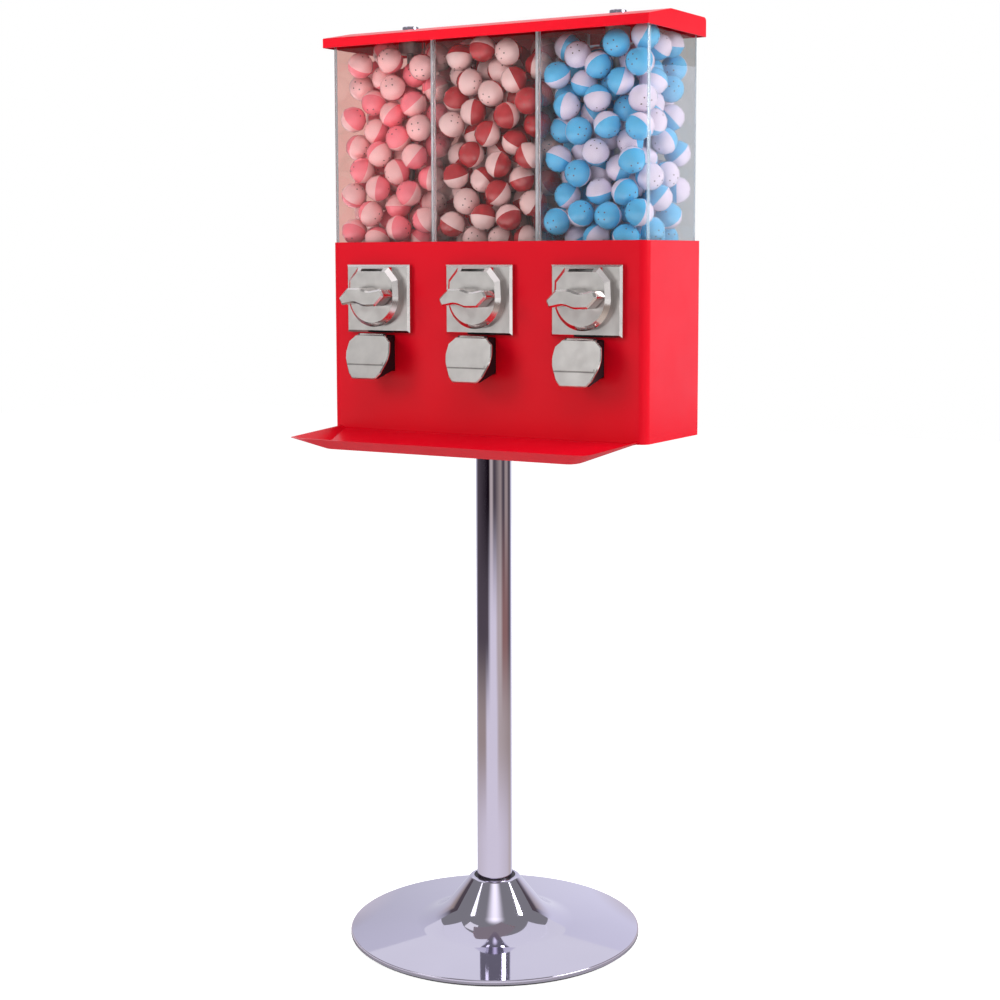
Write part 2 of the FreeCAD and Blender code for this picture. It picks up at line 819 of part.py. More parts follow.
def chute_section(grow, half_w, x):
    # The duct's side outline, grown outwards everywhere except at its two open ends.
    rise = grow / math.cos(math.radians(chute_slope))
    low_y = mouth_low_y() + rise * lean_tan
    top_y = mouth_top_y + grow * lean_tan
    points = [(chute_front_y - grow, chute_top_z), (chute_back_y + grow, chute_top_z)]
    points += [(chute_back_y + grow, floor_line_z(chute_back_y + grow) - rise)]
    points += [(low_y, floor_line_z(low_y) - rise), (top_y, mouth_top_z + grow)]
    points += [(mouth_top_y + hinge_run, mouth_top_z + grow), (front_y, roof_z + grow)]
    points += [(chute_front_y - grow, roof_z + grow)]
    return sharp_slab([V(x - half_w, y, z) for y, z in points], X * (2 * half_w))


def flap_pin_point():
    # The hinge stands on the roof of the mouth, behind the flap.
    rise = chute_wall + flap_knuckle_r + flap_knuckle_gap
    return V(0, mouth_top_y + rise * lean_tan + flap_knuckle_r / lean_cos, mouth_top_z + rise)


def chute(index):
    x = head_x(index)
    outer_w = chute_half_w()
    inner_w_half = outer_w - chute_wall
    pin = flap_pin_point()
    duct = chute_section(chute_wall, outer_w, x)
    ears = []
    holes = []
    for side in (-1, 1):
        x0, x1 = sorted((x + side * inner_w_half, x + side * outer_w))
        ears.append(rod(flap_knuckle_r, V(x0, pin.y, pin.z), X, x1 - x0))
        ears.append(box(x0, x1, pin.y - flap_knuckle_r * lean_cos, pin.y + flap_knuckle_r, mouth_top_z, pin.z))
        holes.append(rod(flap_pin_r + press_gap, V(x0, pin.y, pin.z), X, x1 - x0))
    body = duct.cut(chute_section(0.0, inner_w_half, x))
    return without(merged([body] + ears), holes)


def flap_pins():
    pin = flap_pin_point()
    half_w = chute_half_w() + chute_gap
    return Part.makeCompound([rod(flap_pin_r, V(head_x(i) - half_w, pin.y, pin.z), X, 2 * half_w)
                              for i in range(len(heads))])


def shield(widths, front):
    # A closed outline on the flap's own plane, from half widths at distances below its pin.
    right = [V(w / 2, front, -z) for w, z in widths]
    left = [V(-p.x, p.y, p.z) for p in reversed(right)]
    return right + left


def chute_flap(index):
    # Built upright round its pin, then leaned and carried to its place.
    back = -(flap_knuckle_r + flap_seat_gap)
    widths = [(flap_top_w, 0), (flap_shoulder_w, flap_shoulder_z), (flap_max_w, flap_max_z)]
    widths += [(flap_waist_w, flap_waist_z), (flap_foot_w, flap_foot_z), (flap_low_w, flap_h)]
    radii = [flap_round, flap_round, flap_max_z, flap_max_z, flap_low_round, flap_low_round]
    plate = slab(shield(widths, back), radii + radii[::-1], -Y * flap_t)
    front = back - flap_t
    plate = plate.makeChamfer(flap_bevel, edges_where(plate, lambda edge: lies_at_y(edge, front)))
    crease_w = flap_waist_w / 2 - 2 * flap_bevel
    crease = box(-crease_w + flap_crease_w, crease_w - flap_crease_w, front - flap_crease_h, front,
                 -flap_crease_z - flap_crease_w / 2, -flap_crease_z + flap_crease_w / 2)
    knuckle_w = pocket_r + chute_gap - flap_side_gap
    knuckle = rod(flap_knuckle_r, V(-knuckle_w, 0, 0), X, 2 * knuckle_w)
    web = box(-knuckle_w, knuckle_w, back - flap_bevel / 2, 0, -flap_knuckle_r + flap_knuckle_gap, 0)
    bore = rod(flap_pin_r + shaft_gap, V(-knuckle_w, 0, 0), X, 2 * knuckle_w)
    flap = merged([plate, crease, knuckle, web]).cut(bore)
    flap.rotate(V(0, 0, 0), X, -flap_lean)
    pin = flap_pin_point()
    flap.translate(V(head_x(index), pin.y, pin.z))
    return flap


def boss_block(x):
    half_top = boss_top_w / 2
    half_shoulder = boss_shoulder_w / 2

    def at(u, w):
        return V(x + u, plate_front_y, mech_z + w)

    upper = [at(boss_r, 0), at(half_shoulder, boss_shoulder_z), at(half_top, boss_top_z)]
    upper += [at(-half_top, boss_top_z), at(-half_shoulder, boss_shoulder_z), at(-boss_r, 0)]
    edges = [Part.makeLine(a, b) for a, b in zip(upper, upper[1:])]
    edges.append(Part.Arc(upper[-1], at(0, -boss_r), upper[0]).toShape())
    block = Part.Face(Part.Wire(edges)).extrude(-Y * boss_proud)
    return block.makeChamfer(boss_bevel, edges_where(block, lambda edge: lies_at_y(edge, boss_front_y)))


def coin_plate(index):
    x = head_x(index)
    half_w = plate_w / 2
    plate = box(x - half_w, x + half_w, plate_front_y, front_y, plate_low_z, plate_low_z + plate_h)
    plate = plate.makeChamfer(plate_bevel, edges_where(plate, lambda edge: lies_at_y(edge, plate_front_y)))
    stud_l = sheet + carrier_gap + carrier_t
    stud = rod(pawl_pin_r, V(x + pawl_x, front_y, mech_z + pawl_z), Y, stud_l)
    slot_top = mech_z + boss_top_z - slot_below_top
    cuts = [box(x - slot_w / 2, x + slot_w / 2, boss_front_y, front_y, slot_top - slot_h, slot_top)]
    cuts.append(rod(shaft_r + shaft_gap, V(x, boss_front_y, mech_z), Y, boss_proud + plate_t))
    for screw_x, screw_z in screw_places(x):
        cuts.append(rod(screw_r + screw_hole_gap, V(screw_x, front_y - screw_bite, screw_z), Y, screw_bite))
    return without(merged([plate, boss_block(x), stud]), cuts)


def mech_screws():
    # Driven from inside the cabinet. The lower screws also hold the feet of the cage.
    solids = []
    for index in range(len(heads)):
        for x, z in screw_places(head_x(index)):
            seat_y = inner_front_y + (cage_foot_t if z < mech_z else 0)
            end_y = seat_y + screw_head_h
            head = rod(screw_head_r, V(x, seat_y, z), Y, screw_head_h)
            head = head.makeFillet(screw_head_round, [edge for edge in head.Edges if lies_at_y(edge, end_y)])
            tip_y = front_y - screw_bite
            solids.append(merged([head, rod(screw_r, V(x, tip_y, z), Y, seat_y - tip_y)]))
    return Part.makeCompound(solids)


def mech_cage(index):
    x = head_x(index)
    half_w = cage_inner_w / 2
    high_z = pan_low_z - pinion_gap / 2
    low_z = plate_low_z
    back = box(x - half_w - cage_t, x + half_w + cage_t, cage_y, cage_y + cage_t, low_z, high_z)
    solids = [back]
    leg_z = mech_z - cage_leg_drop
    for side in (-1, 1):
        x0, x1 = sorted((x + side * half_w, x + side * (half_w + cage_t)))
        solids.append(box(x0, x1, inner_front_y, cage_y + cage_t, low_z, leg_z))
        x0, x1 = sorted((x + side * half_w, x + side * (half_w + cage_t + cage_foot_w)))
        solids.append(box(x0, x1, inner_front_y, inner_front_y + cage_foot_t, low_z, leg_z))
    cuts = [rod(shaft_r + shaft_gap, V(x, cage_y, mech_z), Y, cage_t)]
    for screw_x, screw_z in screw_places(x):
        cuts.append(rod(screw_r + screw_hole_gap, V(screw_x, inner_front_y, screw_z), Y, cage_foot_t))
    return without(merged(solids), cuts)


def polar(x, y, radius, turn):
    return V(x + radius * math.cos(turn), y, mech_z + radius * math.sin(turn))


def coin_carrier(index):
    x = head_x(index)
    step = 2 * math.pi / ratchet_teeth
    points = []
    for k in range(ratchet_teeth):
        points.append(polar(x, carrier_y, carrier_r - ratchet_depth, k * step))
        points.append(polar(x, carrier_y, carrier_r, (k + ratchet_rise) * step))
    disc = sharp_slab(points, Y * carrier_t)
    coin_r = coin_d / 2 + coin_play
    coin_z = mech_z + shaft_r + coin_web + coin_r
    cuts = [rod(coin_r, V(x, carrier_y, coin_z), Y, carrier_t)]
    cuts.append(box(x - coin_r, x + coin_r, carrier_y, carrier_y + carrier_t, coin_z, mech_z + carrier_r))
    cuts.append(rod(shaft_r + press_gap, V(x, carrier_y, mech_z), Y, carrier_t))
    return without(disc, cuts)


def ratchet_pawl(index):
    x = head_x(index)
    y = carrier_y + pawl_side_gap
    thick = carrier_t - 2 * pawl_side_gap
    pivot = V(x + pawl_x, y, mech_z + pawl_z)
    tip = polar(x, y, carrier_r + pawl_tip_gap, math.radians(pawl_tip_turn))
    outwards = Y.cross(pivot - tip).normalize()
    points = [tip, tip + outwards * pawl_tip_t, pivot + outwards * pawl_r, pivot - outwards * pawl_r]
    arm = sharp_slab(points, Y * thick)
    hub = rod(pawl_r, pivot, Y, thick)
    return merged([arm, hub]).cut(rod(pawl_pin_r + shaft_gap, pivot, Y, thick))


def drive_shaft(index):
    x = head_x(index)
    tip, root = tooth_half_widths()
    root_r = pinion_r - tooth_dedendum
    points = []
    for k in range(pinion_teeth):
        turn = math.pi / 2 - k * 2 * math.pi / pinion_teeth
        points.append(polar(x, pinion_y, root_r, turn + root / root_r))
        points.append(polar(x, pinion_y, pinion_tip_r, turn + tip / pinion_tip_r))
        points.append(polar(x, pinion_y, pinion_tip_r, turn - tip / pinion_tip_r))
        points.append(polar(x, pinion_y, root_r, turn - root / root_r))
    pinion = sharp_slab(points, Y * tooth_face)
    start_y = wing_front_y + handle_cap + press_gap
    return merged([rod(shaft_r, V(x, start_y, mech_z), Y, pinion_end_y - start_y), pinion])


def handle(index):
    # Half of the wing's outline, from tip to shoulder. The other half is the same, turned half a turn.
    x = head_x(index)
    outline = [(wing_l / 2, wing_tip_rise), (wing_corner_l / 2, wing_corner_rise), (wing_dip_l / 2, wing_dip_rise)]
    outline += [(-wing_crest_l / 2, wing_crest_rise), (-wing_shoulder_l / 2, wing_shoulder_rise)]
    radii = [wing_round, wing_round, wing_dip_l, wing_dip_l, wing_round]
    points = [V(x + turn * u, wing_back_y, mech_z + turn * w) for turn in (1, -1) for u, w in outline]
    wing = slab(points, radii + radii, -Y * wing_t)
    wing = wing.makeChamfer(wing_bevel, edges_where(wing, lambda edge: lies_at_y(edge, wing_front_y)))
    neck = rod(neck_r, V(x, wing_back_y, mech_z), Y, neck_l)
    bore_l = wing_t - handle_cap + neck_l
    bore = rod(shaft_r + press_gap, V(x, wing_front_y + handle_cap, mech_z), Y, bore_l)
    return merged([wing, neck]).cut(bore)


def lid_section(inset):
    low_z = lid_low_z
    drop = inset * math.hypot(1, lid_slope)
    points = [(lid_front_y + inset, low_z), (lid_front_y + inset, lid_skirt_z + lid_slope * inset - drop)]
    ridge_y = lid_ridge_y + (drop - inset) / lid_slope
    points += [(ridge_y, lid_top_z - inset), (lid_back_y - inset, lid_top_z - inset), (lid_back_y - inset, low_z)]
    radii = [0, lid_front_round - inset, lid_ridge_round - inset, lid_back_round - inset, 0]
    half_w = lid_half_w - inset
    return slab([V(-half_w, y, z) for y, z in points], radii, X * (2 * half_w))


def lid():
    outer = lid_section(0.0)

    def is_end(edge):
        bounds = edge.BoundBox
        flat = bounds.XLength < 1e-6 and abs(abs(bounds.XMin) - lid_half_w) < 1e-6
        return flat and bounds.ZMax - lid_low_z > 1e-6

    outer = outer.makeFillet(lid_end_round, edges_where(outer, is_end))
    holes = [upright(lid_lock_r + lock_hole_gap, head_x(i), hopper_y, lid_low_z, lid_top_z)
             for i in range(len(heads)) if has_lock(i)]
    return without(outer, [lid_section(sheet)] + holes)


def lid_lock_bodies():
    solids = []
    for index in range(len(heads)):
        if has_lock(index):
            x = head_x(index)
            high_z = lid_top_z + lid_lock_head_h
            head = upright(lid_lock_head_r, x, hopper_y, lid_top_z, high_z)
            head = head.makeFillet(lid_lock_head_r - lid_lock_r, edges_where(
                head, lambda edge: high_z - edge.BoundBox.ZMin < 1e-6))
            barrel = upright(lid_lock_r, x, hopper_y, lid_lock_low_z, lid_top_z)
            bore = upright(plug_r + plug_gap, x, hopper_y, lid_lock_low_z, high_z)
            solids.append(merged([head, barrel]).cut(bore))
    return Part.makeCompound(solids)


def lid_lock_plug(index):
    x = head_x(index)
    high_z = lid_top_z + lid_lock_head_h
    tongue_z = lid_lock_low_z - tongue_drop
    barrel = upright(plug_r, x, hopper_y, lid_lock_low_z, high_z)
    neck = upright(tongue_neck_r, x, hopper_y, tongue_z, lid_lock_low_z)
    half_l = tongue_l / 2
    half_w = tongue_w / 2
    tongue = box(x - half_l, x + half_l, hopper_y - half_w, hopper_y + half_w, tongue_z, tongue_z + tongue_t)
    keyway = box(x - keyway_l / 2, x + keyway_l / 2, hopper_y - keyway_w / 2, hopper_y + keyway_w / 2,
                 high_z - keyway_depth, high_z)
    return merged([barrel, neck, tongue]).cut(keyway)


def pile_centres(index):
    # Capsules dropped one by one: each slides down the pile until no small step takes it lower.
    draw = random.Random(pile_first_seed + index)
    reach = capsule_d + capsule_gap
    radius = capsule_d / 2 + capsule_gap
    half_w = canister_w / 2 - canister_wall - radius
    half_d = canister_d / 2 - canister_wall - radius
    keep_out = axle_r + radius if has_lock(index) else 0.0
    flat_z = pile_floor_z + radius
    slope = funnel_rise / funnel_run
    cone_z = wheel_top_z - (wheel_r + running_gap) * slope + radius * math.hypot(1, slope)
    top_z = canister_top_z - radius
    cup_reach = keeper_r + radius if has_lock(index) else 0.0
    cup_z = keeper_low_z - radius
    centres = []

    def height(u, v):
        lowest = max(flat_z, cone_z + slope * math.hypot(u, v))
        for other_u, other_v, other_z in centres:
            spare = reach * reach - (u - other_u) ** 2 - (v - other_v) ** 2
            if spare > 0:
                lowest = max(lowest, other_z + math.sqrt(spare))
        under_cup = lowest > cup_z and math.hypot(u, v) < cup_reach
        return canister_top_z if under_cup else lowest

    def inside(u, v):
        u = max(-half_w, min(half_w, u))
        v = max(-half_d, min(half_d, v))
        away = math.hypot(u, v)
        if away < keep_out:
            u, v = (u * keep_out / away, v * keep_out / away) if away > 0 else (keep_out, 0.0)
        return u, v

    def settle(u, v):
        z = height(u, v)
        step = radius / 2
        while step > pile_last_step:
            moves = []
            for k in range(8):
                near_u, near_v = inside(u + step * math.cos(k * math.pi / 4), v + step * math.sin(k * math.pi / 4))
                moves.append((height(near_u, near_v), near_u, near_v))
            best = min(moves)
            if best[0] < z - 1e-9:
                z, u, v = best
            else:
                step /= 2
        return z, u, v

    while True:
        starts = [inside(draw.uniform(-half_w, half_w), draw.uniform(-half_d, half_d)) for k in range(pile_tries)]
        z, u, v = min(settle(*start) for start in starts)
        if z > top_z:
            return [V(head_x(index) + u, hopper_y + v, z) for u, v, z in centres]
        centres.append((u, v, z))


def capsules(index):
    return Part.makeCompound([Part.makeSphere(capsule_d / 2, centre) for centre in pile_centres(index)])


def save(node, shape):
    shape.exportStep("parts/" + node + ".step")
    print(node, len(shape.Solids), shape.isValid(), round(shape.Volume))


os.makedirs("parts", exist_ok=True)

single_nodes = (base_cover, base_weight, floor_ring, pole, pole_bush, stand_flange, flange_bolts,
                tray, cabinet_wrap, cabinet_floor, cabinet_deck, rear_panel,
                cash_drawer, drawer_lock_body, drawer_lock_plug,
                brush_guards, wheel_axles, flap_pins, mech_screws, lid, lid_lock_bodies)
for make in single_nodes:
    save(make.__name__, make())

head_nodes = (canister, dispenser_housing, product_wheel, chute, chute_flap, coin_plate, mech_cage,
              coin_carrier, ratchet_pawl, drive_shaft, handle)
for index, side in enumerate(heads):
    for make in head_nodes:
        save(make.__name__ + "_" + side, make(index))
    save("capsules_" + fillings[index], capsules(index))
    if has_lock(index):
        save("lid_lock_plug_" + side, lid_lock_plug(index))
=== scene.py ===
import json
import math
import random

import bmesh
import bpy
from mathutils import Matrix, Vector


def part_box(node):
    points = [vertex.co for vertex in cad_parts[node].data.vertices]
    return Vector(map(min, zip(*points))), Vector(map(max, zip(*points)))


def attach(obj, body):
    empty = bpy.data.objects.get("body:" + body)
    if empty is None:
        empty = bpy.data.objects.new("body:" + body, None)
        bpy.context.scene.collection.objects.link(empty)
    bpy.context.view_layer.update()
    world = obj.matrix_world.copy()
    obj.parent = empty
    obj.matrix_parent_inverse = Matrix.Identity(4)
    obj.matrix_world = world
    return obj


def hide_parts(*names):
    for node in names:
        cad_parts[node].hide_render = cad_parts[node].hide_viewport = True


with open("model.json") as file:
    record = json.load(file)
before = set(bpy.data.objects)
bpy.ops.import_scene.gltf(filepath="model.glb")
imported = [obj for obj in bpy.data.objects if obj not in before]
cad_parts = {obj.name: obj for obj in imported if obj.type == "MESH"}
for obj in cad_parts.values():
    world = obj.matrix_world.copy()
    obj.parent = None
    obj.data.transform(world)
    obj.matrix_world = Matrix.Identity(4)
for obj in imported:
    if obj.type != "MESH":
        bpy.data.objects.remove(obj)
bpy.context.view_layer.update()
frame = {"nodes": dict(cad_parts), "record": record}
nodes = frame["nodes"]
sides = ("left", "middle", "right")
mergeGap = 1e-6  # points closer than this become one
print("frame loaded:", len(nodes), "nodes")


# node helpers

def addNode(tree, kind, place, **values):
    node = tree.nodes.new(kind)
    node.location = place
    for name, value in values.items():
        setattr(node, name, value)
    return node


def mathNode(tree, operation, place, first, second=None):
    node = addNode(tree, "ShaderNodeMath", place, operation=operation)
    for socket, value in zip(node.inputs, (first, second)):
        if isinstance(value, (int, float)):
            socket.default_value = value
        elif value is not None:
            tree.links.new(value, socket)
    return node.outputs[0]


def mixColours(tree, place, factor, first, second, blend="MIX"):
    # each of the three is a plain value or comes from another node
    node = addNode(tree, "ShaderNodeMix", place, data_type="RGBA", blend_type=blend)
    for label, value in (("Factor", factor), ("A", first), ("B", second)):
        if isinstance(value, (int, float)):
            node.inputs[label].default_value = value
        elif isinstance(value, tuple):
            node.inputs[label].default_value = (*value, 1.0)
        else:
            tree.links.new(value, node.inputs[label])
    return node.outputs["Result"]


def splitPlace(tree, place, vector):
    node = addNode(tree, "ShaderNodeSeparateXYZ", place)
    tree.links.new(vector, node.inputs[0])
    return node.outputs


def newGroup(name, inputs, output):
    # a group that makes one value from a place and a few plain values
    tree = bpy.data.node_groups.new(name, "ShaderNodeTree")
    tree.interface.new_socket("Vector", in_out="INPUT", socket_type="NodeSocketVector")
    for label, value in inputs.items():
        socket = tree.interface.new_socket(label, in_out="INPUT", socket_type="NodeSocketFloat")
        socket.default_value = value
    tree.interface.new_socket(output, in_out="OUTPUT", socket_type="NodeSocketFloat")
    return tree, addNode(tree, "NodeGroupInput", (-900, 0)), addNode(tree, "NodeGroupOutput", (500, 0))


clouds = {"inputs": {"Scale": 20.0, "Low": 0.9, "High": 1.1}, "detail": 3.0, "from": 0.3, "to": 0.7}


def mottleGroup():
    # soft cloudy patches between two values, for tone and gloss
    tree, into, out = newGroup("mottle", clouds["inputs"], "Value")
    noise = addNode(tree, "ShaderNodeTexNoise", (-600, 100))
    noise.inputs["Detail"].default_value = clouds["detail"]
    spread = addNode(tree, "ShaderNodeMapRange", (-200, 100))
    spread.inputs["From Min"].default_value = clouds["from"]
    spread.inputs["From Max"].default_value = clouds["to"]
    tree.links.new(into.outputs["Vector"], noise.inputs["Vector"])
    tree.links.new(into.outputs["Scale"], noise.inputs["Scale"])
    tree.links.new(noise.outputs["Fac"], spread.inputs["Value"])
    tree.links.new(into.outputs["Low"], spread.inputs["To Min"])
    tree.links.new(into.outputs["High"], spread.inputs["To Max"])
    tree.links.new(spread.outputs["Result"], out.inputs["Value"])
    return tree


bumps = {"inputs": {"Scale": 600.0, "Stretch": 1.0}, "detail": 2.0}


def grainGroup():
    # fine bumps, stretched along one axis where a finish is brushed
    tree, into, out = newGroup("grain", bumps["inputs"], "Height")
    split = splitPlace(tree, (-700, 0), into.outputs["Vector"])
    join = addNode(tree, "ShaderNodeCombineXYZ", (-350, 0))
    noise = addNode(tree, "ShaderNodeTexNoise", (-100, 0))
    noise.inputs["Detail"].default_value = bumps["detail"]
    stretched = mathNode(tree, "DIVIDE", (-520, 100), split["X"], into.outputs["Stretch"])
    tree.links.new(stretched, join.inputs["X"])
    tree.links.new(split["Y"], join.inputs["Y"])
    tree.links.new(split["Z"], join.inputs["Z"])
    tree.links.new(join.outputs[0], noise.inputs["Vector"])
    tree.links.new(into.outputs["Scale"], noise.inputs["Scale"])
    tree.links.new(noise.outputs["Fac"], out.inputs["Height"])
    return tree


mottle = mottleGroup()
grain = grainGroup()


def placeGroup(tree, group, vector, place, **values):
    node = addNode(tree, "ShaderNodeGroup", place, node_tree=group)
    tree.links.new(vector, node.inputs["Vector"])
    for name, value in values.items():
        node.inputs[name].default_value = value
    return node.outputs[0]


def placeMottle(tree, vector, place, scale, values):
    low, high = values
    return placeGroup(tree, mottle, vector, place, Scale=scale, Low=low, High=high)


def startMaterial(name):
    material = bpy.data.materials.new(name)
    material.use_nodes = True
    tree = material.node_tree
    shader = tree.nodes["Principled BSDF"]
    place = addNode(tree, "ShaderNodeTexCoord", (-1300, 0))
    return material, tree, shader, place.outputs["Object"]


def paintedCreaseShade(tree, vector, settings):
    # how much darker a level line across the piece is: painted shade along the crease below the pressed bar
    height = splitPlace(tree, (-1100, 600), vector)["Z"]
    rise = mathNode(tree, "SUBTRACT", (-950, 600), height, settings["lineHeight"])
    gap = mathNode(tree, "ABSOLUTE", (-800, 600), rise)
    inside = mathNode(tree, "LESS_THAN", (-650, 600), gap, settings["lineHalf"])
    return mathNode(tree, "MULTIPLY", (-500, 600), inside, settings["shadeDepth"])


def finishMaterial(name, settings):
    # cloudy tone and gloss, with a fine grain in the surface
    material, tree, shader, vector = startMaterial(name)
    tone = placeMottle(tree, vector, (-900, 300), settings["toneScale"], settings["tone"])
    # the tone darkened by a painted shade line, where one is given
    if "lineHeight" in settings:
        tone = mathNode(tree, "SUBTRACT", (-650, 300), tone, paintedCreaseShade(tree, vector, settings))
    colour = mixColours(tree, (-500, 300), 1.0, settings["colour"], tone, "MULTIPLY")
    tree.links.new(colour, shader.inputs["Base Color"])
    gloss = placeMottle(tree, vector, (-900, 0), settings["glossScale"], settings["roughness"])
    tree.links.new(gloss, shader.inputs["Roughness"])
    height = placeGroup(tree, grain, vector, (-900, -300), Scale=settings["grainScale"],
                        Stretch=settings.get("stretch", 1.0))
    bump = addNode(tree, "ShaderNodeBump", (-400, -300))
    bump.inputs["Strength"].default_value = settings["grainStrength"]
    bump.inputs["Distance"].default_value = settings["grainDepth"]
    tree.links.new(height, bump.inputs["Height"])
    tree.links.new(bump.outputs["Normal"], shader.inputs["Normal"])
    shader.inputs["Metallic"].default_value = settings.get("metallic", 0.0)
    shader.inputs["Specular IOR Level"].default_value = settings.get("specular", 0.5)
    shader.inputs["Transmission Weight"].default_value = settings.get("transmission", 0.0)
    return material


# finishes of the machine

redPaint = finishMaterial("redPaint", {
    "colour": (0.70, 0.002, 0.014), "tone": (0.97, 1.03), "toneScale": 9.0, "roughness": (0.29, 0.36),
    "glossScale": 30.0, "grainScale": 700.0, "grainStrength": 0.05, "grainDepth": 0.0004, "specular": 0.13})
chrome = finishMaterial("chrome", {
    "colour": (0.64, 0.61, 0.74), "tone": (0.97, 1.02), "toneScale": 6.0, "roughness": (0.03, 0.06),
    "glossScale": 14.0, "grainScale": 400.0, "grainStrength": 0.01, "grainDepth": 0.0002, "metallic": 1.0})
polishedChrome = finishMaterial("polishedChrome", {
    "colour": (0.74, 0.70, 0.69), "tone": (0.95, 1.04), "toneScale": 40.0, "roughness": (0.16, 0.22),
    "glossScale": 60.0, "grainScale": 700.0, "grainStrength": 0.02, "grainDepth": 0.0002, "metallic": 1.0})
bareSteel = finishMaterial("bareSteel", {
    "colour": (0.52, 0.52, 0.51), "tone": (0.9, 1.05), "toneScale": 40.0, "roughness": (0.30, 0.42),
    "glossScale": 60.0, "grainScale": 900.0, "grainStrength": 0.1, "grainDepth": 0.0003, "stretch": 12.0,
    "metallic": 1.0})
castIron = finishMaterial("castIron", {
    "colour": (0.06, 0.06, 0.065), "tone": (0.8, 1.2), "toneScale": 50.0, "roughness": (0.6, 0.8),
    "glossScale": 80.0, "grainScale": 350.0, "grainStrength": 0.4, "grainDepth": 0.001, "metallic": 0.3})
floorRubber = finishMaterial("floorRubber", {
    "colour": (0.02, 0.02, 0.02), "tone": (0.85, 1.15), "toneScale": 60.0, "roughness": (0.65, 0.8),
    "glossScale": 80.0, "grainScale": 800.0, "grainStrength": 0.2, "grainDepth": 0.0005})
blackPlastic = finishMaterial("blackPlastic", {
    "colour": (0.018, 0.014, 0.018), "tone": (0.85, 1.15), "toneScale": 50.0, "roughness": (0.34, 0.46),
    "glossScale": 60.0, "grainScale": 1000.0, "grainStrength": 0.12, "grainDepth": 0.0004, "specular": 0.2})
whitePlastic = finishMaterial("whitePlastic", {
    "colour": (0.72, 0.71, 0.68), "tone": (0.95, 1.03), "toneScale": 30.0, "roughness": (0.38, 0.5),
    "glossScale": 50.0, "grainScale": 900.0, "grainStrength": 0.06, "grainDepth": 0.0003})

# plates and handles are satin, and so are the flaps, which also have a line of painted shade below their
# pressed bar
satinLook = {"tone": (0.93, 1.05), "toneScale": 60.0, "roughness": (0.38, 0.46), "glossScale": 90.0,
             "grainScale": 900.0, "grainStrength": 0.02, "grainDepth": 0.0002, "metallic": 1.0}
flapCreaseShade = {"rise": 0.0172, "lineHalf": 0.0007, "shadeDepth": 0.5}
flapCreaseShade["lineHeight"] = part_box("chute_flap_middle")[0].z + flapCreaseShade["rise"]
satinChrome = finishMaterial("satinChrome", {**satinLook, "colour": (0.70, 0.67, 0.65)})
flapChrome = finishMaterial("flapChrome", {**satinLook, **flapCreaseShade, "colour": (0.72, 0.69, 0.67)})

# corners of the clear hoppers carry strips of painted highlight, paler at the seams between them
cornerHighlightLook = {"tone": (0.9, 1.05), "toneScale": 12.0, "roughness": (0.16, 0.24), "glossScale": 20.0,
            "grainScale": 300.0, "grainStrength": 0.02, "grainDepth": 0.0003}
seamHighlight = finishMaterial("seamHighlight", {**cornerHighlightLook, "colour": (0.92, 0.92, 0.95), "transmission": 0.12})
outerCornerHighlight = finishMaterial("outerCornerHighlight", {**cornerHighlightLook, "colour": (0.72, 0.84, 0.92), "transmission": 0.72})


def clearMaterial(name, settings):
    # clear sheet: bends what is behind it, and lets lamps reach what it holds
    material, tree, shader, vector = startMaterial(name)
    haze = placeMottle(tree, vector, (-900, 0), settings["hazeScale"], settings["roughness"])
    tree.links.new(haze, shader.inputs["Roughness"])
    shader.inputs["Base Color"].default_value = (*settings["colour"], 1.0)
    shader.inputs["Transmission Weight"].default_value = 1.0
    shader.inputs["IOR"].default_value = settings["ior"]
    path = addNode(tree, "ShaderNodeLightPath", (0, 400))
    through = addNode(tree, "ShaderNodeBsdfTransparent", (0, -300))
    through.inputs["Color"].default_value = (*settings["shadow"], 1.0)
    mix = addNode(tree, "ShaderNodeMixShader", (350, 200))
    tree.links.new(path.outputs["Is Shadow Ray"], mix.inputs["Fac"])
    tree.links.new(shader.outputs["BSDF"], mix.inputs[1])
    tree.links.new(through.outputs["BSDF"], mix.inputs[2])
    tree.links.new(mix.outputs["Shader"], tree.nodes["Material Output"].inputs["Surface"])
    return material


clearPlastic = clearMaterial("clearPlastic", {"colour": (0.97, 0.965, 0.96), "shadow": (0.97, 0.965, 0.96),
                                              "ior": 1.45, "roughness": (0.0, 0.02), "hazeScale": 12.0})


